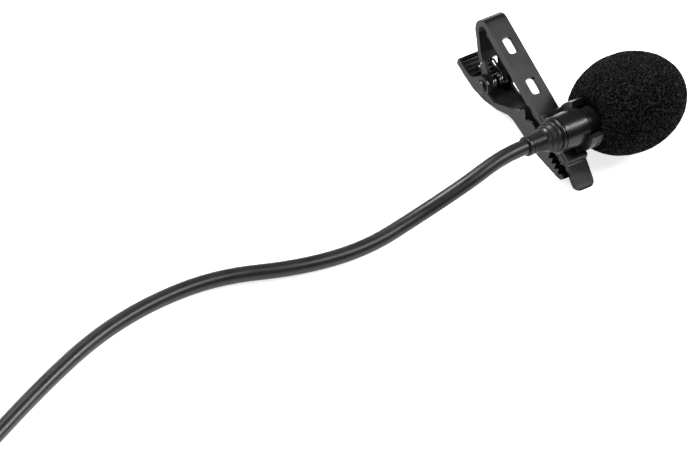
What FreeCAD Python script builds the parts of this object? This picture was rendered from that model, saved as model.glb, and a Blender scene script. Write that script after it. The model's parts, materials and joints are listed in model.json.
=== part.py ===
"""Lavalier microphone with a tie clip, a foam windscreen and a lead ending in a 3.5 mm plug.

Millimetres, +Z up. The microphone lies on a table: its axis is along +X, the foam is at
the +X end and the clip hangs beside the barrel with its jaw on the table. The origin is
on the table, at the centre of the box of everything but the lead.
"""
import FreeCAD
import Part
import math
import os
import re
import Sketcher

Vec = FreeCAD.Vector
X_AXIS = Vec(1, 0, 0)
Z_AXIS = Vec(0, 0, 1)

# Driving dimensions. Stations called *_x run along the microphone's axis from the middle of
# the clip, stations called *_t run along the clip's strip from its bend, and *_d is the depth
# behind the strip's front face.
DIMS = {
    # place of the microphone's axis
    "mic_x": -8.7, "mic_y": -11.41, "axis_height": 10.6, "clip_tilt": 20.2,
    # microphone body
    "barrel_r": 4.3, "bore_r": 3.45,
    "rear_x": -5.9, "groove_x": -5.25, "parting_x": 2.2, "housing_r": 3.7, "housing_bore_r": 3.1,
    "grille_x": 11.4, "nose_x": 15.2, "grille_hole_r": 0.55, "grille_hole_ring_r": 2.0,
    # capsule
    "can_r": 3.0, "can_skin": 0.2, "can_x": 9.0, "can_front_x": 12.8, "board_x": 9.2,
    "board_thick": 0.5, "plate_x": 11.7, "plate_r": 2.2, "plate_hole_r": 0.3, "film_x": 12.22,
    "fet_long": 1.6, "fet_wide": 1.2, "fet_high": 0.8, "wire_r": 0.35, "wire_y": 0.9,
    # strain relief
    "relief_x": -14.2, "relief_tip_r": 2.2, "relief_root_r": 2.4, "dome_x": -9.3, "flange_r": 3.7,
    "rib_pitch": 0.46, "rib_depth": 0.12,
    # foam windscreen
    "foam_r": 11.2, "foam_half": 14.7, "foam_x": 16.9, "foam_y": 0.2, "foam_lift": 0.6,
    "foam_mouth_x": 4.9, "foam_grip_r": 3.85,
    # clip
    "strip_wide": 6.3, "web_thick": 1.2, "flange_wide": 0.8, "strip_deep": 2.0,
    "slot_long": 4.1, "slot_wide": 2.9, "slot_round": 0.8, "slot_a_t": 6.75, "slot_b_t": 17.45,
    "axis_t": 30.9, "axis_gap": 4.3, "ring_r": 5.9, "ring_bore_r": 4.36,
    "ring_back_x": -0.3, "ring_front_x": 4.5, "prong_back_x": 1.0,
    "saddle_high": 0.9, "saddle_half": 6.5,
    "edge_step": 0.2, "edge_step_d": 1.1, "tab_half": 2.85, "tab_round": 1.5,
    "pivot_t": 10.3, "pivot_d": 11.9, "pin_r": 0.9, "pin_gap": 0.05, "pin_head_r": 1.5,
    "pin_head_thick": 0.5, "cheek_inner": 1.95, "cheek_outer": 2.85, "cheek_r": 1.75,
    "jaw_inner": 3.3, "jaw_outer": 3.95, "jaw_side_gap": 0.08,
    "spring_wire_r": 0.3, "spring_r": 1.4,
    # lead
    "cable_r": 1.8, "coil_mean_r": 19.0, "coil_spread": 6.8, "coil_x": -216.3, "coil_y": -9.0,
    "tie_wide": 9.0, "tie_thick": 0.6,
    # plug, stations called *_u run from where the lead enters it
    "plug_x": -184.7, "plug_y": 24.3, "plug_turn": 18.0, "grip_r": 3.6, "shaft_r": 1.75,
    "shaft_root_r": 1.4, "plug_core_r": 0.5, "contact_bore_r": 0.9, "relief_u": 9.2, "grip_u": 26.6,
    "sleeve_u": 33.0, "ring_u": 36.2, "insulator_u": 0.6, "plug_tip_u": 41.0,
}

# The lead's route on the table, from the strain relief to the coil. Chosen by hand.
ROUTE = [
    (-22.9, -11.4, 10.6), (-29.7, -11.4, 10.6), (-40.7, -13.1, 8.4), (-54.7, -13.3, 3.6),
    (-70.7, -14.9, 1.8), (-88.7, -12.9, 1.8), (-106.7, -7.2, 1.8), (-124.7, -6.6, 1.8),
    (-143.7, -9.4, 1.8), (-163.7, -15.9, 1.8), (-184.7, -24.1, 1.8), (-206.7, -32.9, 1.8),
]
# From the top of the coil down to the plug.
TAIL_ROUTE = [
    (-216.3, 16.8, 5.4), (-208.7, 16.8, 5.4), (-200.7, 18.3, 4.6), (-192.1, 21.3, 3.6),
    (-184.85, 24.24, 3.6),
]

doc = FreeCAD.newDocument("lavalier_microphone")
sheet = doc.addObject("Spreadsheet::Sheet", "Dims")
nodes = {}


def fill_sheet():
    for row, (alias, value) in enumerate(DIMS.items(), 1):
        sheet.set(f"A{row}", alias)
        sheet.set(f"B{row}", str(value))
        sheet.setAlias(f"B{row}", alias)
    doc.recompute()


def bound(text, unit=None):
    """An expression with every alias pointed at the sheet, given a unit if one is named."""
    words = re.sub(r"[a-z][a-z_]*", lambda word: "Dims." + word.group(), str(text))
    return f"({words}) * 1 {unit}" if unit else words


def size(text):
    """The present value of an expression."""
    if not isinstance(text, str):
        return text
    return float(sheet.evalExpression(bound(text)))


# ---------------------------------------------------------------- building tools

def mic_place():
    return FreeCAD.Placement(Vec(size("mic_x"), size("mic_y"), size("axis_height")), FreeCAD.Rotation())


def clip_place():
    """The clip's own frame: Y runs down the strip from its bend and Z is the depth behind it."""
    turn = FreeCAD.Rotation(X_AXIS, 180 + size("clip_tilt"))
    to_axis = turn.multVec(Vec(0, size("axis_t"), -size("axis_gap")))
    return FreeCAD.Placement(mic_place().Base - to_axis, turn)


def plug_place():
    return FreeCAD.Placement(Vec(size("plug_x"), size("plug_y"), size("grip_r")),
                             FreeCAD.Rotation(Z_AXIS, size("plug_turn")))


def new_body(name, place):
    body = doc.addObject("PartDesign::Body", name)
    body.Label = name
    body.Placement = place
    nodes[name] = body
    return body


def new_sketch(body, role, name):
    sketch = body.newObject("Sketcher::SketchObject", name)
    plane = next(item for item in body.Origin.OriginFeatures if item.Role == role)
    sketch.AttachmentSupport = [(plane, "")]
    sketch.MapMode = "FlatFace"
    return sketch


def draw_outline(sketch, points):
    """A closed outline. A coordinate given as words is bound to the sheet."""
    places = [Vec(size(a), size(b), 0) for a, b in points]
    first = sketch.GeometryCount
    count = len(places)
    for index in range(count):
        sketch.addGeometry(Part.LineSegment(places[index], places[(index + 1) % count]))
    for index in range(count):
        after = first + (index + 1) % count
        sketch.addConstraint(Sketcher.Constraint("Coincident", first + index, 2, after, 1))
    for index, point in enumerate(points):
        for kind, text, value in zip(("DistanceX", "DistanceY"), point, places[index]):
            if not isinstance(text, str):
                continue
            rule = Sketcher.Constraint(kind, -1, 1, first + index, 1, value)
            number = sketch.addConstraint(rule)
            sketch.setExpression(f"Constraints[{number}]", bound(text))


def draw_circle(sketch, across, up, radius):
    """A circle whose radius is bound to the sheet."""
    centre = Vec(size(across), size(up), 0)
    number = sketch.addGeometry(Part.Circle(centre, Z_AXIS, size(radius)))
    rule = sketch.addConstraint(Sketcher.Constraint("Radius", number, size(radius)))
    sketch.setExpression(f"Constraints[{rule}]", bound(radius))


def turned(name, points, place):
    """A piece turned about its own X axis, from an outline of stations and radii."""
    body = new_body(name, place)
    sketch = new_sketch(body, "XY_Plane", name + "_profile")
    draw_outline(sketch, points)
    feature = body.newObject("PartDesign::Revolution", name + "_turn")
    feature.Profile = sketch
    feature.ReferenceAxis = (sketch, ["H_Axis"])
    feature.Angle = 360
    return body


def extrude(body, kind, name, sketch, length, offset="0"):
    """A pad or pocket across the clip. Its middle is moved along X by the offset."""
    sketch.setExpression("AttachmentOffset.Base.z", bound(offset, "mm"))
    feature = body.newObject("PartDesign::" + kind, name)
    feature.Profile = sketch
    feature.setExpression("Length", bound(length, "mm"))
    feature.SideType = "Symmetric"
    return feature


def side_pad(body, name, points, width, offset="0"):
    sketch = new_sketch(body, "YZ_Plane", name + "_side")
    draw_outline(sketch, points)
    return extrude(body, "Pad", name, sketch, width, offset)


def side_pocket(body, name, points, width, offset="0"):
    sketch = new_sketch(body, "YZ_Plane", name + "_side")
    draw_outline(sketch, points)
    return extrude(body, "Pocket", name, sketch, width, offset)


def arc_points(across, up, radius, start, end, steps):
    """Points along an arc, angles in degrees from the first axis towards the second."""
    angles = [math.radians(start + (end - start) * step / steps) for step in range(steps + 1)]
    return [(across + radius * math.cos(a), up + radius * math.sin(a)) for a in angles]


# ---------------------------------------------------------------- clip

def make_clip_frame():
    """The strip, its bend, the rear leg with two cheeks, and the open ring for the barrel."""
    body = new_body("clip_frame", clip_place())
    front = [(36.0, 0), (37.8, 0.3), (40.0, 1.0), (42.3, 1.7), (43.2, 1.95), (43.6, 2.15)]
    back = [(43.3, 2.32), (42.3, 2.6), (41.2, 2.45), (39.9, 2.05), (37.7, 1.45),
            (36.8, 1.35), (36.3, "strip_deep")]
    inner = [(2.4, "strip_deep"), (1.6, "web_thick"), (0.5, "web_thick"), (-0.2, 1.5), (-0.6, 2.2),
             (-0.4, 2.9), (0.3, 3.75), (2.1, 5.2), (4.3, 7.0), (6.0, 7.75)]
    outer = [(5.7, 8.85), (5.4, 8.7), (3.6, 7.8), (1.5, 6.05), (-0.65, 4.5), (-1.55, 3.4), (-1.85, 2.3),
             (-1.65, 1.2), (-0.95, 0.35), (0.0, 0.02), (0.9, 0)]
    side_pad(body, "ribbon", front + back + inner + outer, "strip_wide")
    side_pocket(body, "web", [(2.6, "web_thick"), (35.6, "web_thick"), (35.6, "strip_deep + 0.2"),
                              (2.6, "strip_deep + 0.2")], "strip_wide - 2 * flange_wide")
    cheek = [(4.6, 8.2), (5.6, 7.6), (8.3, 8.6)]
    cheek += arc_points(size("pivot_t"), size("pivot_d"), size("cheek_r"), -50, 165, 10)
    side_pad(body, "cheeks", cheek + [(7.4, 10.2), (6.0, 9.0)], "2 * cheek_outer")
    side_pocket(body, "fork", [(5.75, 7.0), (13, 7.0), (13, 15), (5.75, 15)], "2 * cheek_inner")
    make_ring(body)
    cut_slots(body)
    round_tab(body)
    step_edges(body)
    hole = new_sketch(body, "YZ_Plane", "pin_hole_circle")
    draw_circle(hole, "pivot_t", "pivot_d", "pin_r")
    extrude(body, "Pocket", "pin_hole", hole, "strip_wide")


def make_ring(body):
    """A saddle across the strip, two prongs that hold the barrel, and the barrel's way through."""
    centre = (size("axis_t"), -size("axis_gap"))
    saddle = []
    for side in (1, -1):
        edge = size("axis_t") + side * size("saddle_half")
        corner = [(edge + side * 0.1, 0.5), (edge, -0.4), (edge - side * 0.4, -size("saddle_high"))]
        saddle += corner if side > 0 else corner[::-1]
    side_pad(body, "saddle", saddle, "strip_wide - 0.3")
    base = arc_points(*centre, size("ring_r"), 28, 152, 16)
    base += arc_points(*centre, size("barrel_r"), 152, 28, 16)
    length = "ring_front_x - ring_back_x"
    side_pad(body, "prong_base", base, length, "(ring_front_x + ring_back_x) / 2")
    prongs = arc_points(*centre, size("ring_r"), -35, 215, 28)
    prongs += arc_points(*centre, size("barrel_r"), 215, -35, 28)
    length = "ring_front_x - prong_back_x"
    side_pad(body, "prongs", prongs, length, "(ring_front_x + prong_back_x) / 2")
    doc.recompute()
    sketch = new_sketch(body, "YZ_Plane", "barrel_way_circle")
    draw_circle(sketch, *centre, "ring_bore_r")
    extrude(body, "Pocket", "barrel_way", sketch, "3 * ring_front_x")


def round_tab(body):
    """The strip's tip narrows and its corners are round."""
    half = size("tab_half")
    turn = size("tab_round")
    for side in (1, -1):
        sketch = new_sketch(body, "XY_Plane", f"tab_corner_{side + 1}_shape")
        curve = arc_points(half - turn, 43.6 - turn, turn, 0, 90, 6)
        points = [(3.6, 36.2), (3.2, 36.2), (half, 37.2)] + curve + [(half - turn, 45), (3.6, 45)]
        draw_outline(sketch, [(side * across, along) for across, along in points])
        extrude(body, "Pocket", f"tab_corner_{side + 1}", sketch, "12")


def step_edges(body):
    """A shallow step along both edges of the strip."""
    points = [(2.6, "edge_step_d"), (36.0, "edge_step_d"), (36.0, "strip_deep + 0.2"),
              (2.6, "strip_deep + 0.2")]
    for side in (1, -1):
        middle = f"{side} * (strip_wide - edge_step) / 2"
        side_pocket(body, f"edge_step_{side + 1}", points, "edge_step", middle)


def cut_slots(body):
    """Two rounded slots through the strip."""
    for name in ("slot_a", "slot_b"):
        middle = size(name + "_t")
        sketch = new_sketch(body, "XY_Plane", name + "_shape")
        half_long = size("slot_long / 2 - slot_round")
        half_wide = size("slot_wide / 2 - slot_round")
        points = []
        for turn, across, along in ((0, 1, 1), (90, -1, 1), (180, -1, -1), (270, 1, -1)):
            centre = (across * half_wide, middle + along * half_long)
            points += arc_points(*centre, size("slot_round"), turn, turn + 90, 4)
        draw_outline(sketch, points)
        extrude(body, "Pocket", name, sketch, "2 * strip_deep + 1")


def make_clip_jaw():
    """The sprung lever: a channel with two ears, a ridged thumb pad and a toothed nose."""
    body = new_body("clip_jaw", clip_place())
    under = [(2.3, 15.5), (9.5, 14.86), (13.3, 13.46), (16.8, 11.2), (19.7, 8.5), (21.3, 7.9),
             (25.9, 7.4), (31.2, 6.6), (36.4, 4.9), (38.0, 4.37), (39.2, 3.6), (39.6, 2.4)]
    teeth = []
    for tooth in range(4):
        middle = 37.7 - 1.4 * tooth
        teeth += [(middle + 0.6, 2.4), (middle, 3.7), (middle - 0.6, 2.4)]
    throat = [(24.8, 2.4), (23.2, 3.9), (21.7, 2.4), (21.0, 2.4), (20.7, 4.2), (19.1, 6.2),
              (16.9, 8.8), (14.9, 11.0), (13.8, 11.1)]
    boss = arc_points(size("pivot_t"), size("pivot_d"), 2.4, -15, -165, 8)
    thumb = [(7.3, 13.0), (6.4, 13.7), (2.6, 14.0), (1.9, 13.6), (1.7, 14.3)]
    side_pad(body, "channel", under + teeth + throat + boss + thumb, "2 * jaw_outer")
    floor = [(31.0, 5.8), (25.8, 6.6), (21.2, 7.1), (19.4, 7.7), (16.3, 10.6), (12.9, 12.8), (9.4, 14.2)]
    for ridge in range(5):
        start = 7.9 - ridge * 1.15
        level = 14.3 + 0.05 * ridge
        floor += [(start, level), (start - 0.2, level - 0.4), (start - 0.5, level - 0.4), (start - 0.7, level)]
    floor += [(2.5, 14.6), (2.3, 12.0), (2.3, 1.0), (31.6, 1.0)]
    side_pocket(body, "hollow", floor, "2 * jaw_inner")
    doc.recompute()
    hole = new_sketch(body, "YZ_Plane", "ear_hole_circle")
    draw_circle(hole, "pivot_t", "pivot_d", "pin_r + pin_gap")
    extrude(body, "Pocket", "ear_hole", hole, "3 * jaw_outer")


def make_pivot_pin():
    """A pin pressed into the frame's cheeks, with a head outside each ear."""
    place = clip_place()
    place = place.multiply(FreeCAD.Placement(Vec(0, size("pivot_t"), size("pivot_d")), FreeCAD.Rotation()))
    head = "jaw_outer + jaw_side_gap"
    tip = head + " + pin_head_thick"
    rim = "pin_head_r - 0.25"
    turned("pivot_pin", [
        (f"-({tip})", 0), (f"-({tip})", rim), (f"-({tip}) + 0.25", "pin_head_r"),
        (f"-({head})", "pin_head_r"), (f"-({head})", "pin_r"), (head, "pin_r"),
        (head, "pin_head_r"), (f"{tip} - 0.25", "pin_head_r"), (tip, rim), (tip, 0)], place)


def rod(start, end, radius):
    """A round rod between two points."""
    return Part.makeCylinder(radius, (end - start).Length, start, end - start)


def make_torsion_spring():
    """A double torsion spring: two windings on the pin, a bridge under the rear leg and a
    loop that presses on the thumb pad."""
    wire = size("spring_wire_r")
    mean = size("spring_r")
    middle = Vec(0, size("pivot_t"), size("pivot_d"))
    pitch = 2 * wire + 0.06
    turns = 2.25
    shapes = []
    for side in (-1, 1):
        helix = Part.makeHelix(pitch, pitch * turns, mean)
        circle = Part.Wire([Part.makeCircle(wire, Vec(mean, 0, 0), Vec(0, 1, 0))])
        winding = Part.Wire(helix.Edges).makePipeShell([circle], True, False)
        winding.rotate(Vec(0, 0, 0), Vec(0, 1, 0), 90)
        if side < 0:
            winding = winding.mirror(Vec(0, 0, 0), X_AXIS)
        winding.translate(middle + Vec(side * 0.1, 0, 0))
        shapes.append(winding)
        outer = side * (0.1 + pitch * turns)
        bridge = middle + Vec(outer, -4.6, -mean)
        shapes.append(rod(middle + Vec(outer, 0.2, -mean), bridge, wire))
        pad = middle + Vec(side * 0.5, -5.0, 1.4)
        shapes.append(rod(middle + Vec(side * 0.5, 0.2, mean), pad, wire))
    reach = 0.1 + pitch * turns + wire
    shapes.append(rod(middle + Vec(-reach, -4.6, -mean), middle + Vec(reach, -4.6, -mean), wire))
    shapes.append(rod(middle + Vec(-0.8, -5.0, 1.4), middle + Vec(0.8, -5.0, 1.4), wire))
    feature = doc.addObject("Part::Feature", "torsion_spring")
    feature.Label = "torsion_spring"
    feature.Shape = shapes[0].multiFuse(shapes[1:])
    feature.Placement = clip_place()
    nodes["torsion_spring"] = feature


# ---------------------------------------------------------------- microphone body

def make_body_shells():
    place = mic_place()
    turned("rear_cap", [
        ("rear_x", "relief_root_r"), ("rear_x", "barrel_r - 0.3"), ("rear_x + 0.3", "barrel_r"),
        ("groove_x", "barrel_r"), ("groove_x", "bore_r"), ("groove_x + 1.4", "bore_r"),
        ("groove_x + 1.4", "relief_root_r")], place)
    turned("mic_barrel", [
        ("groove_x", "bore_r"), ("groove_x", "barrel_r - 0.25"), ("groove_x + 0.3", "barrel_r - 0.25"),
        ("groove_x + 0.3", "barrel_r"), ("parting_x - 0.4", "barrel_r"),
        ("parting_x - 0.12", "barrel_r - 0.12"), ("parting_x", "barrel_r - 0.4"),
        ("parting_x", "bore_r")], place)
    turned("front_housing", [
        ("parting_x - 1.8", "housing_bore_r - 0.4"), ("parting_x - 1.8", "bore_r"),
        ("parting_x", "bore_r"), ("parting_x", "housing_r"), ("grille_x", "housing_r"),
        ("grille_x", "housing_r - 0.3"), ("grille_x + 1", "housing_r - 0.3"),
        ("grille_x + 1", "housing_bore_r"), ("parting_x + 1", "housing_bore_r"),
        ("parting_x + 0.6", "housing_bore_r - 0.4")], place)


def make_grille_cap():
    cap = turned("grille_cap", [
        ("grille_x", "housing_r - 0.3"), ("grille_x", "housing_r"), ("nose_x - 0.6", "housing_r"),
        ("nose_x - 0.15", "housing_r - 0.2"), ("nose_x", "housing_r - 0.6"), ("nose_x", 0),
        ("nose_x - 0.6", 0), ("nose_x - 0.6", "housing_r - 0.6"), ("grille_x + 1", "housing_r - 0.6"),
        ("grille_x + 1", "housing_r - 0.3")], mic_place())
    sketch = new_sketch(cap, "YZ_Plane", "sound_hole_circles")
    draw_circle(sketch, 0, 0, "grille_hole_r")
    for index in range(6):
        angle = math.radians(60 * index)
        ring = size("grille_hole_ring_r")
        draw_circle(sketch, ring * math.cos(angle), ring * math.sin(angle), "grille_hole_r")
    extrude(cap, "Pocket", "sound_holes", sketch, "nose_x * 3")
    mesh_r = "housing_r - 0.6"
    turned("grille_mesh", [("nose_x - 0.85", 0), ("nose_x - 0.85", mesh_r), ("nose_x - 0.6", mesh_r),
                           ("nose_x - 0.6", 0)], mic_place())
    turned("dust_felt", [("nose_x - 1.5", 0), ("nose_x - 1.5", mesh_r), ("nose_x - 0.85", mesh_r),
                         ("nose_x - 0.85", 0)], mic_place())


def make_capsule():
    """An electret capsule in a rubber sleeve: can, film on its ring, spacer, backplate, cup,
    contact ring and a small board with a transistor."""
    place = mic_place()
    inside = "can_r - can_skin"
    cup_r = inside + " - 0.03"
    turned("capsule_sleeve", [
        ("can_x - 0.4", "can_r"), ("can_x - 0.4", "housing_bore_r"), ("can_front_x + 0.3", "housing_bore_r"),
        ("can_front_x + 0.3", "can_r - 0.5"), ("can_front_x", "can_r - 0.5"), ("can_front_x", "can_r")], place)
    turned("capsule_can", [
        ("can_front_x", 0.6), ("can_front_x", "can_r"), ("can_x", "can_r"), ("can_x", "can_r - 0.55"),
        ("can_x + can_skin", "can_r - 0.55"), ("can_x + can_skin", inside),
        ("can_front_x - can_skin", inside), ("can_front_x - can_skin", 0.6)], place)
    turned("diaphragm_ring", [
        ("film_x + 0.08", "plate_r"), ("film_x + 0.08", cup_r), ("can_front_x - can_skin", cup_r),
        ("can_front_x - can_skin", "plate_r")], place)
    turned("diaphragm", [("film_x", 0), ("film_x", cup_r), ("film_x + 0.08", cup_r),
                         ("film_x + 0.08", 0)], place)
    turned("spacer_ring", [
        ("film_x - 0.12", "plate_r + 0.1"), ("film_x - 0.12", cup_r), ("film_x", cup_r),
        ("film_x", "plate_r + 0.1")], place)
    turned("insulating_cup", [
        ("board_x + board_thick", "plate_r"), ("board_x + board_thick", cup_r),
        ("film_x - 0.12", cup_r), ("film_x - 0.12", "plate_r"), ("plate_x", "plate_r"),
        ("plate_x", "plate_r - 0.4"), ("plate_x - 0.4", "plate_r - 0.4"), ("plate_x - 0.4", "plate_r")], place)
    turned("contact_ring", [
        ("board_x + board_thick", "plate_r - 0.35"), ("board_x + board_thick", "plate_r"),
        ("plate_x - 0.4", "plate_r"), ("plate_x - 0.4", "plate_r - 0.35")], place)
    turned("capsule_board", [
        ("board_x", 0), ("board_x", cup_r), ("board_x + board_thick", cup_r),
        ("board_x + board_thick", 0)], place)
    plate = turned("backplate", [
        ("plate_x", 0), ("plate_x", "plate_r"), ("film_x - 0.16", "plate_r"), ("film_x - 0.16", 0)], place)
    sketch = new_sketch(plate, "YZ_Plane", "plate_hole_circles")
    for angle in (45, 135, 225, 315):
        across = 1.2 * math.cos(math.radians(angle))
        up = 1.2 * math.sin(math.radians(angle))
        draw_circle(sketch, across, up, "plate_hole_r")
    extrude(plate, "Pocket", "plate_holes", sketch, "plate_x * 3")


def make_capsule_wiring():
    place = mic_place()
    chip = doc.addObject("Part::Box", "fet_chip")
    chip.Label = "fet_chip"
    for side, alias in (("Length", "fet_high"), ("Width", "fet_long"), ("Height", "fet_wide")):
        chip.setExpression(side, bound(alias, "mm"))
    corner = Vec(size("board_x + board_thick"), -size("fet_long") / 2, -size("fet_wide") / 2)
    chip.Placement = place.multiply(FreeCAD.Placement(corner, FreeCAD.Rotation()))
    nodes["fet_chip"] = chip
    for name, side in (("signal_wire", 1), ("ground_wire", -1)):
        wire = doc.addObject("Part::Cylinder", name)
        wire.Label = name
        wire.setExpression("Radius", bound("wire_r", "mm"))
        wire.setExpression("Height", bound("board_x + 1.7", "mm"))
        start = FreeCAD.Placement(Vec(-1.7, side * size("wire_y"), 0), FreeCAD.Rotation(Vec(0, 1, 0), 90))
        wire.Placement = mic_place().multiply(start)
        nodes[name] = wire
    turned("cable_clamp", [(-3.1, "cable_r"), (-3.1, 2.5), (-1.9, 2.5), (-1.9, "cable_r")], mic_place())
    turned("cable_inner_end", [("relief_x", 0), ("relief_x", "cable_r"), (-1.7, "cable_r"), (-1.7, 0)],
           mic_place())


def ribs(start, end, start_r, end_r, pitch, depth):
    """Outline points of a tapered stretch with grooves, from its narrow end."""
    points = []
    count = int((end - start) / pitch)
    for index in range(count):
        at = start + index * pitch
        outer = start_r + (end_r - start_r) * index / count
        points += [(at, outer - depth), (at + 0.3 * pitch, outer - depth), (at + 0.4 * pitch, outer),
                   (at + 0.9 * pitch, outer)]
    return points


def make_strain_relief():
    """The moulded boot: an end collar, fine ribs, a stepped dome and an anchor in the barrel."""
    points = [("relief_x", "cable_r"), ("relief_x", "relief_tip_r - 0.05"),
              ("relief_x + 0.15", "relief_tip_r + 0.12"), ("relief_x + 0.85", "relief_tip_r + 0.12"),
              ("relief_x + 1", "relief_tip_r - 0.05")]
    points += ribs(size("relief_x") + 1.15, size("dome_x"), size("relief_tip_r"),
                   size("relief_root_r"), size("rib_pitch"), size("rib_depth"))
    points += [
        ("dome_x", "relief_root_r"), ("dome_x + 0.15", "relief_root_r + 0.3"),
        ("dome_x + 0.75", "relief_root_r + 0.55"), ("dome_x + 0.85", "relief_root_r + 0.42"),
        ("dome_x + 1", "relief_root_r + 0.42"), ("dome_x + 1.15", "relief_root_r + 0.75"),
        ("dome_x + 2", "flange_r - 0.3"), ("dome_x + 2.1", "flange_r - 0.45"),
        ("dome_x + 2.3", "flange_r - 0.45"), ("dome_x + 2.45", "flange_r - 0.1"),
        ("dome_x + 2.8", "flange_r"), ("rear_x", "flange_r"),
        ("rear_x", "relief_root_r"), ("groove_x + 1.4", "relief_root_r"),
        ("groove_x + 1.4", "bore_r - 0.05"), ("groove_x + 2", "bore_r - 0.05"), ("groove_x + 2", "cable_r")]
    turned("strain_relief", points, mic_place())


def make_foam_windscreen():
    """An egg of open-cell foam with a bore that grips the housing."""
    egg = doc.addObject("Part::Ellipsoid", "foam_egg")
    egg.setExpression("Radius1", bound("foam_half", "mm"))
    egg.setExpression("Radius2", bound("foam_r", "mm"))
    egg.setExpression("Radius3", bound("foam_r", "mm"))
    lay = FreeCAD.Rotation(Vec(0, 1, 0), 90)
    middle = Vec(size("foam_x"), size("foam_y"), size("foam_lift"))
    egg.Placement = mic_place().multiply(FreeCAD.Placement(middle, lay))
    bore = doc.addObject("Part::Cylinder", "foam_bore")
    bore.setExpression("Radius", bound("foam_grip_r", "mm"))
    bore.setExpression("Height", bound("nose_x + 0.3", "mm"))
    bore.Placement = mic_place().multiply(FreeCAD.Placement(Vec(0, 0, 0), lay))
    mouth = doc.addObject("Part::Cylinder", "foam_mouth")
    mouth.setExpression("Radius", bound("foam_r + 1", "mm"))
    mouth.setExpression("Height", bound("foam_mouth_x", "mm"))
    mouth.Placement = mic_place().multiply(FreeCAD.Placement(Vec(0, 0, 0), lay))
    hollow = doc.addObject("Part::Cut", "foam_hollow")
    hollow.Base = egg
    hollow.Tool = bore
    foam = doc.addObject("Part::Cut", "foam_windscreen")
    foam.Label = "foam_windscreen"
    foam.Base = hollow
    foam.Tool = mouth
    nodes["foam_windscreen"] = foam


# ---------------------------------------------------------------- lead

def rounded_path(points, name):
    """Straight runs joined by tangent arcs, each arc as large as its two runs allow."""
    places = [Vec(*point) for point in points]
    edges = []
    here = places[0]
    radii = []
    for before, corner, after in zip(places, places[1:], places[2:]):
        back = before - corner
        ahead = after - corner
        half_turn = (math.pi - back.getAngle(ahead)) / 2
        reach = 0.45 * min(back.Length, ahead.Length)
        radius = reach / math.tan(half_turn)
        radii.append(round(radius, 1))
        back.normalize()
        ahead.normalize()
        start = corner + back * reach
        end = corner + ahead * reach
        inward = (back + ahead).normalize()
        middle = corner + inward * (radius / math.cos(half_turn) - radius)
        edges.append(Part.LineSegment(here, start).toShape())
        edges.append(Part.Arc(start, middle, end).toShape())
        here = end
    edges.append(Part.LineSegment(here, places[-1]).toShape())
    print(name, "radii", radii, "length", round(sum(edge.Length for edge in edges), 1))
    return Part.Wire(edges)


def make_tube(name, points):
    radius = size("cable_r")
    path = rounded_path(points, name)
    heading = Vec(*points[1]) - Vec(*points[0])
    circle = Part.Wire([Part.makeCircle(radius, Vec(*points[0]), heading)])
    tube = path.makePipeShell([circle], True, False)
    print(name, "volume", round(tube.Volume, 1), "expected", round(math.pi * radius**2 * path.Length, 1))
    feature = doc.addObject("Part::Feature", name)
    feature.Label = name
    feature.Shape = tube
    nodes[name] = feature


def make_coil():
    """The outer shape of two flat layers of turns, and the tie that holds them."""
    place = FreeCAD.Placement(Vec(size("coil_x"), size("coil_y"), 0), FreeCAD.Rotation(Vec(0, 1, 0), -90))
    outer = "coil_mean_r + coil_spread + cable_r"
    inner = "coil_mean_r - coil_spread - cable_r"
    top = "4 * cable_r"
    turned("cable_coil", [
        (0, inner + " + 1"), (0, outer + " - 1"), (1, outer), (top + " - 1", outer),
        (top, outer + " - 1"), (top, inner + " + 1"), (top + " - 1", inner), (1, inner)], place)
    tie = new_body("coil_tie", FreeCAD.Placement(Vec(size("coil_x"), size("coil_y"), 0), FreeCAD.Rotation()))
    sketch = new_sketch(tie, "XZ_Plane", "tie_section")
    near = "coil_mean_r - coil_spread - cable_r"
    far = "coil_mean_r + coil_spread + cable_r"
    draw_outline(sketch, [
        (f"-({far} + tie_thick)", 0), (f"-({near} - tie_thick)", 0),
        (f"-({near} - tie_thick)", "4 * cable_r + tie_thick"),
        (f"-({far} + tie_thick)", "4 * cable_r + tie_thick")])
    draw_outline(sketch, [
        (f"-({far})", "tie_thick / 3"), (f"-({near})", "tie_thick / 3"),
        (f"-({near})", "4 * cable_r"), (f"-({far})", "4 * cable_r")])
    extrude(tie, "Pad", "tie_band", sketch, "tie_wide")


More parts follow.
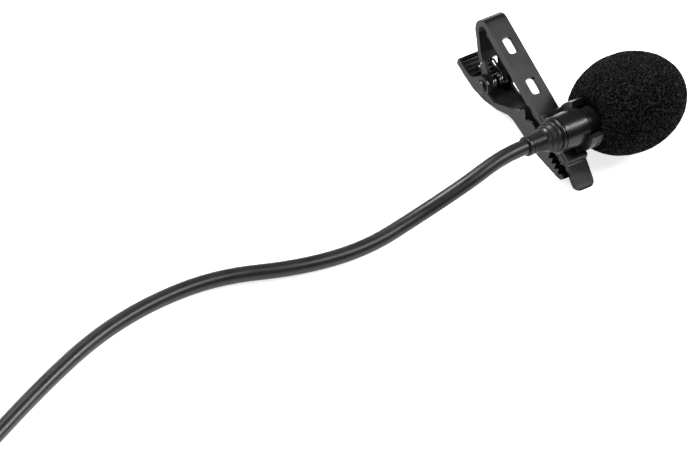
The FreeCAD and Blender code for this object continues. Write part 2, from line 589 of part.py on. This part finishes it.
def make_plug():
    """A straight 3.5 mm plug with three contacts, lying on its grip."""
    place = plug_place()
    relief = [(0, 0), (0, 2.05)]
    relief += ribs(0.5, size("relief_u") - 0.6, 2.1, 2.75, 0.95, 0.25)
    relief += [("relief_u - 0.6", 2.9), ("relief_u + 3", 2.9), ("relief_u + 3", 0)]
    turned("plug_relief", relief, place)
    grip = [("relief_u", 2.9), ("relief_u", "grip_r - 0.3"), ("relief_u + 0.4", "grip_r")]
    for index in range(6):
        at = 12.4 + 1.5 * index
        grip += [(at, size("grip_r")), (at + 0.2, size("grip_r") - 0.2), (at + 0.5, size("grip_r") - 0.2),
                 (at + 0.7, size("grip_r"))]
    grip += [("grip_u - 0.7", "grip_r"), ("grip_u", "grip_r - 0.6"), ("grip_u", "shaft_root_r"),
             ("relief_u + 3", "shaft_root_r"), ("relief_u + 3", 2.9)]
    turned("plug_grip", grip, place)
    bore = "contact_bore_r"
    turned("plug_sleeve_contact", [
        (18, bore), (18, "shaft_root_r"), ("grip_u", "shaft_root_r"), ("grip_u", "shaft_r"),
        ("sleeve_u", "shaft_r"), ("sleeve_u", bore)], place)
    turned("plug_insulator", [
        (22, "plug_core_r"), (22, bore), ("sleeve_u", bore), ("sleeve_u", "shaft_r"),
        ("sleeve_u + insulator_u", "shaft_r"), ("sleeve_u + insulator_u", bore), ("ring_u", bore),
        ("ring_u", "shaft_r"), ("ring_u + insulator_u", "shaft_r"),
        ("ring_u + insulator_u", "plug_core_r")], place)
    turned("plug_ring_contact", [
        ("sleeve_u + insulator_u", bore), ("sleeve_u + insulator_u", "shaft_r"), ("ring_u", "shaft_r"),
        ("ring_u", bore)], place)
    turned("plug_tip_contact", [
        (20, 0), (20, "plug_core_r"), ("ring_u + insulator_u", "plug_core_r"),
        ("ring_u + insulator_u", "shaft_r"), ("plug_tip_u - 3.4", "shaft_r"), ("plug_tip_u - 2.6", 1.3),
        ("plug_tip_u - 1.7", "shaft_r"), ("plug_tip_u - 0.6", 1.2), ("plug_tip_u - 0.1", 0.5),
        ("plug_tip_u", 0)], place)


# ---------------------------------------------------------------- checks and files

def check_and_write():
    doc.recompute()
    for item in doc.Objects:
        if "Invalid" in item.State or "Error" in item.State:
            raise RuntimeError(f"{item.Label} failed: {item.State}")
    os.makedirs("parts", exist_ok=True)
    whole = FreeCAD.BoundBox()
    for name, item in nodes.items():
        shape = item.Shape
        if shape.isNull() or not shape.isValid() or not shape.Solids:
            raise RuntimeError(f"{name} is not a valid solid")
        if name not in ("cable_run", "cable_coil", "cable_tail", "coil_tie") and not name.startswith("plug_"):
            whole.add(shape.BoundBox)
        print(f"{name:22s} solids {len(shape.Solids)} volume {shape.Volume:10.2f}")
        shape.exportStep(f"parts/{name}.step")
    print("box without the lead", whole)


fill_sheet()
make_clip_frame()
make_clip_jaw()
make_pivot_pin()
make_torsion_spring()
make_body_shells()
make_grille_cap()
make_capsule()
make_capsule_wiring()
make_strain_relief()
make_foam_windscreen()
make_tube("cable_run", ROUTE)
make_coil()
make_tube("cable_tail", TAIL_ROUTE)
make_plug()
check_and_write()
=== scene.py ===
"""Looks for the lavalier microphone: lead, foam, spring, strap and every surface's material.

Everything is in metres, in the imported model's frame.
"""
import json
import math

import bmesh
import bpy
from mathutils import Matrix, Vector, noise


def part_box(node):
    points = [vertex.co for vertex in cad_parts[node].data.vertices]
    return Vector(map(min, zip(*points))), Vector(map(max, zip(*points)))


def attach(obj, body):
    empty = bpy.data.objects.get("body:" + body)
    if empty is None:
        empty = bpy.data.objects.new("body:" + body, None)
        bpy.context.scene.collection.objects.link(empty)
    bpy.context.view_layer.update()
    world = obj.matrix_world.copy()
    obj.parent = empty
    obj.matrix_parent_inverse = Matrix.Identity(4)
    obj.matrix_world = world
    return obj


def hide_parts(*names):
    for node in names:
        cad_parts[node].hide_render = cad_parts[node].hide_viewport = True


MM = 0.001
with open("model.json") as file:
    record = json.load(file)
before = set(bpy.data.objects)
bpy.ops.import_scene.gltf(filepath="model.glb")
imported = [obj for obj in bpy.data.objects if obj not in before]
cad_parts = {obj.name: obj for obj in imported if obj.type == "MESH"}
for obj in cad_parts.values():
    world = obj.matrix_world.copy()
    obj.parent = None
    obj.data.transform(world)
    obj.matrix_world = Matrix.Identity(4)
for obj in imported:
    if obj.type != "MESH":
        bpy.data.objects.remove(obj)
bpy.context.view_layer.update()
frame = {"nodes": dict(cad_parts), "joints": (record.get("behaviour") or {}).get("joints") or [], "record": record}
nodes = frame["nodes"]
scene = bpy.context.scene
joints = {joint["name"]: joint for joint in frame["joints"]}

MIC_AXIS = Vector(joints["clip_turn"]["pos_m"])
PIVOT = Vector(joints["jaw_pivot"]["pos_m"])
CLIP_TILT = math.radians(20.2)
# The clip's own directions: down the strip from its bend, and away from its front face.
ALONG = Vector((0, -math.cos(CLIP_TILT), -math.sin(CLIP_TILT)))
DEEPER = Vector((0, math.sin(CLIP_TILT), -math.cos(CLIP_TILT)))


def mm(*values):
    return Vector(values) * MM


# ---------------------------------------------------------------- camera

def make_camera():
    """A long lens that looks down on the microphone from its lead's side."""
    right = Vector((0.751, -0.6104, 0.2518))
    up = Vector((0.3034, 0.6577, 0.6893))
    toward = right.cross(up).normalized()
    frame_width = 0.1573
    distance = 2.0
    # How far the barrel's end stands to the right of and above the view's middle.
    aside = 0.0455
    above = 0.0209
    barrel_end = Vector((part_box("rear_cap")[0].x, MIC_AXIS.y, MIC_AXIS.z))
    target = barrel_end - right * aside - up * above
    data = bpy.data.cameras.new("camera")
    data.sensor_width = 36
    data.lens = data.sensor_width * distance / frame_width
    data.clip_start = 0.05
    data.clip_end = 20
    camera = bpy.data.objects.new("camera", data)
    camera.matrix_world = Matrix.Translation(target + toward * distance) @ Matrix(
        (right, up, toward)).transposed().to_4x4()
    scene.collection.objects.link(camera)
    scene.camera = camera
    return target


# ---------------------------------------------------------------- materials

class Graph:
    """A small helper for one material's nodes."""

    def __init__(self, name):
        self.material = bpy.data.materials.new(name)
        self.material.use_nodes = True
        self.tree = self.material.node_tree
        self.shader = self.tree.nodes["Principled BSDF"]
        self.place = self.node("ShaderNodeTexCoord").outputs["Object"]

    def node(self, kind, **settings):
        made = self.tree.nodes.new(kind)
        for key, value in settings.items():
            setattr(made, key, value)
        return made

    def link(self, source, target):
        self.tree.links.new(source, target)

    def noise(self, scale, detail=3.0, stretch=None):
        made = self.node("ShaderNodeTexNoise")
        made.inputs["Scale"].default_value = scale
        made.inputs["Detail"].default_value = detail
        self.link(self.stretched(stretch), made.inputs["Vector"])
        return made.outputs["Fac"]

    def stretched(self, stretch):
        if not stretch:
            return self.place
        mapping = self.node("ShaderNodeMapping")
        mapping.inputs["Scale"].default_value = stretch
        self.link(self.place, mapping.inputs["Vector"])
        return mapping.outputs["Vector"]

    def cells(self, scale, feature="F1"):
        made = self.node("ShaderNodeTexVoronoi", feature=feature)
        made.inputs["Scale"].default_value = scale
        self.link(self.place, made.inputs["Vector"])
        return made.outputs["Distance"]

    def ramp(self, source, low, high, start=0.0, end=1.0):
        """A colour ramp between two colours."""
        made = self.node("ShaderNodeValToRGB")
        made.color_ramp.elements[0].position = start
        made.color_ramp.elements[0].color = (*low, 1)
        made.color_ramp.elements[1].position = end
        made.color_ramp.elements[1].color = (*high, 1)
        self.link(source, made.inputs["Fac"])
        return made.outputs["Color"]

    def range(self, source, low, high, start=0.3, end=0.7):
        made = self.node("ShaderNodeMapRange")
        for key, value in (("From Min", start), ("From Max", end), ("To Min", low), ("To Max", high)):
            made.inputs[key].default_value = value
        self.link(source, made.inputs["Value"])
        return made.outputs["Result"]

    def bump(self, source, depth, strength=1.0, after=None):
        made = self.node("ShaderNodeBump")
        made.inputs["Strength"].default_value = strength
        made.inputs["Distance"].default_value = depth
        self.link(source, made.inputs["Height"])
        if after:
            self.link(after, made.inputs["Normal"])
        return made.outputs["Normal"]

    def finish(self, colour=None, roughness=None, normal=None, **fixed):
        for source, key in ((colour, "Base Color"), (roughness, "Roughness"), (normal, "Normal")):
            if source is not None:
                self.link(source, self.shader.inputs[key])
        for key, value in fixed.items():
            self.shader.inputs[key.replace("_", " ")].default_value = value
        return self.material


def grey(value, tint=(1.0, 1.0, 1.0)):
    return tuple(value * part for part in tint)


def moulded_black(name, dark, light, rough, grain_scale=9000, grain_depth=0.000012, **fixed):
    """Spark-eroded black plastic: fine grain, slow gloss changes and a little dust."""
    graph = Graph(name)
    slow = graph.noise(260)
    grain = graph.noise(grain_scale, 2)
    colour = graph.ramp(slow, dark, light, 0.25, 0.8)
    roughness = graph.range(slow, rough - 0.02, rough + 0.03)
    return graph.finish(colour, roughness, graph.bump(grain, grain_depth, 0.6), **fixed)


def metal(name, dark, light, rough, stretch=(1, 1, 1), scale=3000, depth=0.000006):
    """Metal with fine drawn or turned lines."""
    graph = Graph(name)
    lines = graph.noise(scale, 3, stretch)
    colour = graph.ramp(lines, dark, light, 0.3, 0.7)
    roughness = graph.range(lines, rough - 0.06, rough + 0.08)
    return graph.finish(colour, roughness, graph.bump(lines, depth, 0.5), Metallic=1.0)


def cloth(name, dark, light, scale, depth):
    graph = Graph(name)
    fibres = graph.cells(scale)
    colour = graph.ramp(fibres, dark, light, 0.1, 0.7)
    roughness = graph.range(fibres, 0.75, 0.95)
    return graph.finish(colour, roughness, graph.bump(fibres, depth, 0.8), Sheen_Weight=0.06,
                        Sheen_Roughness=0.5)


def make_foam_material():
    """Open-cell foam: near-black pores between thin struts, and lighter specks painted in as glints."""
    graph = Graph("foam_black")
    pores = graph.cells(1700)
    struts = graph.cells(2500, "DISTANCE_TO_EDGE")
    grain = graph.noise(5200, 3)
    painted_glint = graph.noise(3600, 1)
    # Painted highlight: the lighter specks in the colour stand for glints off the struts.
    colour = graph.ramp(painted_glint, grey(0.0004), grey(0.045, (1, 0.9, 1.2)), 0.58, 0.76)
    roughness = graph.range(painted_glint, 0.9, 0.3, 0.52, 0.7)
    normal = graph.bump(pores, 0.0005, 1.0)
    normal = graph.bump(struts, 0.0003, 0.8, normal)
    normal = graph.bump(grain, 0.0002, 0.9, normal)
    return graph.finish(colour, roughness, normal, Specular_IOR_Level=0.09)


def make_materials():
    slate = (0.97, 0.98, 1.04)
    return {
        "clip_plastic": moulded_black("clip_plastic", grey(0.003, slate), grey(0.006, slate), 0.3,
                                      Specular_IOR_Level=0.27),
        "shell_black": moulded_black("shell_black", grey(0.0025, slate), grey(0.005, slate), 0.27,
                                     Specular_IOR_Level=0.27),
        "boot_rubber": moulded_black("boot_rubber", grey(0.003), grey(0.006), 0.38, 6000, 0.000012,
                                     Specular_IOR_Level=0.27),
        "cable_jacket": moulded_black("cable_jacket", grey(0.0035, (1.0, 0.97, 1.1)),
                                      grey(0.007, (1.0, 0.97, 1.1)), 0.36, 5000, 0.000012,
                                      Specular_IOR_Level=0.3),
        "plug_rubber": moulded_black("plug_rubber", grey(0.007), grey(0.012), 0.45, 6000, 0.00002),
        "sleeve_rubber": moulded_black("sleeve_rubber", grey(0.03), grey(0.05), 0.6),
        "insulator_black": moulded_black("insulator_black", grey(0.01), grey(0.02), 0.3),
        "chip_black": moulded_black("chip_black", grey(0.015), grey(0.03), 0.45),
        "white_plastic": moulded_black("white_plastic", (0.6, 0.58, 0.52), (0.72, 0.7, 0.64), 0.4),
        "board_green": moulded_black("board_green", (0.01, 0.12, 0.04), (0.02, 0.18, 0.06), 0.35),
        "wire_red": moulded_black("wire_red", (0.4, 0.02, 0.02), (0.5, 0.03, 0.02), 0.4),
        "wire_black": moulded_black("wire_black", grey(0.015), grey(0.03), 0.4),
        "pin_steel": metal("pin_steel", grey(0.02), grey(0.05), 0.3),
        "spring_steel": metal("spring_steel", grey(0.07), grey(0.13), 0.22, (1, 1, 1), 1500),
        "mesh_steel": metal("mesh_steel", grey(0.3), grey(0.5), 0.35),
        "crimp_steel": metal("crimp_steel", grey(0.45), grey(0.6), 0.3),
        "capsule_aluminium": metal("capsule_aluminium", grey(0.6), grey(0.75), 0.3, (1, 8, 8)),
        "film": metal("film", grey(0.7), grey(0.85), 0.12),
        "brass": metal("brass", (0.6, 0.42, 0.17), (0.78, 0.58, 0.28), 0.3),
        "plug_gold": metal("plug_gold", (0.72, 0.5, 0.2), (0.86, 0.64, 0.3), 0.2, (1, 12, 12)),
        "felt": cloth("felt", grey(0.03), grey(0.08), 6000, 0.0001),
        "tie_fabric": cloth("tie_fabric", grey(0.006), grey(0.016), 2600, 0.00025),
        "foam": make_foam_material(),
    }


def dress_cad_nodes(materials):
    """Every CAD node gets its slot's material."""
    for part in frame["record"]["subparts"]:
        thing = nodes[part["node"]]
        thing.data.materials.clear()
        thing.data.materials.append(materials[part["material_slot"]])


def round_edges(names, width):
    """Sharp moulded edges get a small round that catches the light."""
    for name in names:
        bevel = nodes[name].modifiers.new("edge_round", "BEVEL")
        bevel.width = width
        bevel.segments = 2
        bevel.limit_method = "ANGLE"
        bevel.angle_limit = math.radians(32)
        bevel.harden_normals = True
        bevel.use_clamp_overlap = True


# ---------------------------------------------------------------- lead

ROUTE = [
    (-0.0229, -0.0114, 0.0106), (-0.0297, -0.0114, 0.0106), (-0.0407, -0.0131, 0.0084),
    (-0.0547, -0.0133, 0.0036), (-0.0707, -0.0149, 0.0018), (-0.0887, -0.0129, 0.0018),
    (-0.1067, -0.0072, 0.0018), (-0.1247, -0.0066, 0.0018), (-0.1437, -0.0094, 0.0018),
    (-0.1637, -0.0159, 0.0018), (-0.1847, -0.0241, 0.0018), (-0.2067, -0.0329, 0.0018),
]
TAIL_ROUTE = [
    (-0.2163, 0.0168, 0.0054), (-0.2087, 0.0168, 0.0054), (-0.2007, 0.0183, 0.0046),
    (-0.1921, 0.0213, 0.0036), (-0.18485, 0.02424, 0.0036),
]
CABLE_DIAMETER = 0.0036
COIL_CENTRE = Vector((-0.2163, -0.0090))
COIL_MEAN_R = 0.019
COIL_SPREAD = 0.0068
LAYER_TURNS = 3.78
# How much the turn that climbs to the upper layer narrows.
STEP_PINCH = 0.0016
POINTS_PER_TURN = 16


def coil_points():
    """Two flat layers of turns: inwards on the table, up a step, and outwards on top."""
    start = math.atan2(ROUTE[-1][1] - COIL_CENTRE.y, ROUTE[-1][0] - COIL_CENTRE.x)
    total = 2 * LAYER_TURNS + 1
    count = round(total * POINTS_PER_TURN)
    low = CABLE_DIAMETER / 2
    outer = COIL_MEAN_R + COIL_SPREAD
    inner = COIL_MEAN_R - COIL_SPREAD
    # The spline runs a little inside its control points.
    stand_out = 1 / (0.75 + 0.25 * math.cos(2 * math.pi / POINTS_PER_TURN))
    points = []
    for index in range(1, count):
        turns = total * index / count
        if turns < LAYER_TURNS:
            radius = outer - (outer - inner) * turns / LAYER_TURNS
            height = low
        elif turns < LAYER_TURNS + 1:
            step = turns - LAYER_TURNS
            radius = inner - STEP_PINCH * math.sin(math.pi * step)
            height = low + CABLE_DIAMETER * step
        else:
            radius = inner + (outer - inner) * (turns - LAYER_TURNS - 1) / LAYER_TURNS
            height = low + CABLE_DIAMETER
        angle = start - 2 * math.pi * turns
        radius *= stand_out
        points.append((COIL_CENTRE.x + radius * math.cos(angle),
                       COIL_CENTRE.y + radius * math.sin(angle), height))
    return points


def nurbs_curve(name, points, radius, resolution, bevel_resolution):
    """A round cord or wire along control points."""
    data = bpy.data.curves.new(name, "CURVE")
    data.dimensions = "3D"
    data.resolution_u = resolution
    data.bevel_depth = radius
    data.bevel_resolution = bevel_resolution
    data.use_fill_caps = True
    spline = data.splines.new("NURBS")
    spline.points.add(len(points) - 1)
    for point, place in zip(spline.points, points):
        point.co = (*place, 1)
    spline.order_u = 3
    spline.use_endpoint_u = True
    thing = bpy.data.objects.new(name, data)
    scene.collection.objects.link(thing)
    return thing


def make_lead(materials):
    """One cord from the boot to the plug, coil and all, in place of its three plain solids."""
    lead = nurbs_curve("lead", ROUTE + coil_points() + TAIL_ROUTE, CABLE_DIAMETER / 2, 6, 7)
    lead.data.materials.append(materials["cable_jacket"])
    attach(lead, "mic_head")
    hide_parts("cable_run", "cable_coil", "cable_tail")


# ---------------------------------------------------------------- foam windscreen

# The bore lies off the egg's own axis.
BORE_OFFSET = mm(0, -0.2, -0.6)
FOAM_CENTRE = MIC_AXIS + mm(16.9, 0, 0.2) - BORE_OFFSET
FOAM_HALF = 0.0151
FOAM_R = 0.0115
FOAM_SKIN = 0.00046
FOAM_PORE = 0.00078
FOAM_LUMP = 0.004
# How far the first rings, from inside the bore, follow the bore's axis and not the egg's.
LIP_SHARES = (1, 1, 0.9, 0.4)


def mesh_object(name, bm, material):
    """A smooth-shaded mesh in the scene."""
    data = bpy.data.meshes.new(name)
    bm.normal_update()
    bm.to_mesh(data)
    bm.free()
    for face in data.polygons:
        face.use_smooth = True
    data.materials.append(material)
    thing = bpy.data.objects.new(name, data)
    scene.collection.objects.link(thing)
    return thing


def foam_profile():
    """Stations and radii from inside the bore, over the lip and round to the closed nose."""
    clearance = 0.0001
    lip_turn = 0.06
    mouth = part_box("foam_windscreen")[0].x - FOAM_CENTRE.x
    grip_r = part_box("front_housing")[1].z - MIC_AXIS.z + clearance
    start = math.acos(-mouth / FOAM_HALF) + lip_turn
    rim_r = FOAM_R * math.sin(start)
    points = [(mouth + 0.0030, grip_r), (mouth + 0.0012, grip_r), (mouth + 0.0004, grip_r + 0.00012),
              (mouth + 0.0001, (grip_r + rim_r) / 2)]
    steps = 230
    for step in range(steps + 1):
        angle = start + (math.pi - start) * step / steps
        points.append((-FOAM_HALF * math.cos(angle), FOAM_R * math.sin(angle)))
    return points


def make_foam(materials):
    """A turned egg whose skin is broken up by real pores."""
    around = 360
    bm = bmesh.new()
    rings = []
    profile = foam_profile()
    for number, (station, radius) in enumerate(profile[:-1]):
        ring = []
        centre = FOAM_CENTRE
        if number < len(LIP_SHARES):
            centre = FOAM_CENTRE + BORE_OFFSET * LIP_SHARES[number]
        for index in range(around):
            angle = 2 * math.pi * index / around
            ring.append(bm.verts.new(centre + Vector(
                (station, radius * math.cos(angle), radius * math.sin(angle)))))
        rings.append(ring)
    for low, high in zip(rings, rings[1:]):
        for index in range(around):
            after = (index + 1) % around
            bm.faces.new((low[index], high[index], high[after], low[after]))
    tip = bm.verts.new(FOAM_CENTRE + Vector((FOAM_HALF, 0, 0)))
    for index in range(around):
        bm.faces.new((rings[-1][index], tip, rings[-1][(index + 1) % around]))
    bmesh.ops.recalc_face_normals(bm, faces=bm.faces)
    bm.normal_update()
    just_above_table = 0.00002
    for vertex in bm.verts:
        near, second = noise.voronoi(vertex.co / FOAM_PORE)[0][:2]
        pit = max(0.0, 1 - near * 1.9)
        strut = max(0.0, 1 - (second - near) * 3.0)
        lump = noise.fractal(vertex.co / FOAM_LUMP, 1.0, 2.0, 2)
        vertex.co += vertex.normal * FOAM_SKIN * (0.5 * strut - 1.5 * pit + 0.15 * lump - 0.3)
        vertex.co.z = max(vertex.co.z, just_above_table)
    foam = mesh_object("foam_skin", bm, materials["foam"])
    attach(foam, "windscreen")
    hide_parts("foam_windscreen")


# ---------------------------------------------------------------- torsion spring

WIRE_R = 0.0003
COIL_R = 0.0014


def clip_point(x, along, deeper):
    """A point near the pin, in the clip's own directions, in millimetres."""
    return PIVOT + Vector((x * MM, 0, 0)) + ALONG * along * MM + DEEPER * deeper * MM


def mirrored(half):
    """Points near the pin: one half, which ends in the middle, and its mirror image."""
    whole = half + [(-x, along, deeper) for x, along, deeper in reversed(half[:-1])]
    return [clip_point(*point) for point in whole]


def winding(side, turns, start_x, pitch):
    """Points of one winding round the pin, outwards from the pad loop."""
    steps = 16
    # The spline runs a little inside its control points.
    inside = 0.981
    points = []
    for index in range(round(turns * steps) + 1):
        turn = index / steps
        angle = math.pi / 2 + 2 * math.pi * turn
        radius = COIL_R / MM / inside
        points.append(clip_point(side * (start_x + pitch * turn), radius * math.cos(angle),
                                 radius * math.sin(angle)))
    return points


def make_spring(materials):
    """Windings, arms and bridge stay with the clip, and the pad loop moves with the lever."""
    pitch = 0.66
    turns = 2.5
    first = 0.35
    left = winding(-1, turns, first, pitch)
    right = winding(1, turns, first, pitch)
    edge = first + pitch * turns
    arms = mirrored([(-edge, -3.6, -1.42), (-edge, -4.4, -1.42), (-edge + 0.4, -4.75, -1.42),
                     (0, -4.8, -1.42)])
    spring = nurbs_curve("spring_windings", left + arms + right[::-1], WIRE_R, 6, 4)
    spring.data.materials.append(materials["spring_steel"])
    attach(spring, "clip")
    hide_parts("torsion_spring")
    loop = mirrored([(-first, 0.1, 1.42), (-0.38, -2.4, 1.41), (-0.6, -4.4, 1.4), (-0.5, -4.9, 1.4),
                     (0, -5.0, 1.4)])
    pad_loop = nurbs_curve("spring_pad_loop", loop, WIRE_R, 6, 4)
    pad_loop.data.materials.append(materials["spring_steel"])
    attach(pad_loop, "lever")


# ---------------------------------------------------------------- stage

def add_area(name, place, aim, size, power):
    """A soft rectangular lamp that points at a place."""
    data = bpy.data.lights.new(name, "AREA")
    data.shape = "RECTANGLE"
    data.size, data.size_y = size
    data.energy = power
    lamp = bpy.data.objects.new(name, data)
    lamp.location = place
    lamp.rotation_euler = (aim - place).to_track_quat("-Z", "Y").to_euler()
    scene.collection.objects.link(lamp)


def make_stage(target):
    """A table that glows white in a dim white room, and lamps that draw narrow highlights on black."""
    bm = bmesh.new()
    bmesh.ops.create_grid(bm, x_segments=1, y_segments=1, size=4)
    graph = Graph("floor_pale")
    slow = graph.noise(3)
    floor_colour = graph.ramp(slow, grey(0.5), grey(0.52), 0.3, 0.7)
    # The floor glows, which keeps it white and fills the shadows cast on it with painted light.
    white = graph.finish(floor_colour, Roughness=0.9, Emission_Color=(1, 1, 1, 1), Emission_Strength=0.7)
    floor = mesh_object("floor", bm, white)
    world = bpy.data.worlds.new("studio")
    scene.world = world
    world.use_nodes = True
    world.node_tree.nodes["Background"].inputs["Color"].default_value = (1, 1, 1, 1)
    world.node_tree.nodes["Background"].inputs["Strength"].default_value = 0.07
    mic = MIC_AXIS
    add_area("key", mic + Vector((-0.12, 0.5, 0.62)), mic, (0.5, 0.1), 14)
    add_area("right", mic + Vector((0.6, -0.2, 0.46)), mic, (0.08, 0.35), 5)
    add_area("top", mic + Vector((0.36, -0.3, 0.62)), mic, (0.2, 0.2), 2.2)
    add_area("left", target + Vector((-0.5, 0.35, 0.5)), target, (0.45, 0.3), 5)
    add_area("front", target + Vector((-0.3, -0.6, 0.55)), target, (0.5, 0.3), 2.5)
    scene.view_settings.view_transform = "Standard"
    scene.view_settings.look = "None"


target = make_camera()
materials = make_materials()
dress_cad_nodes(materials)
make_lead(materials)
make_foam(materials)
make_spring(materials)
round_edges(["clip_frame", "clip_jaw"], 0.00014)
make_stage(target)
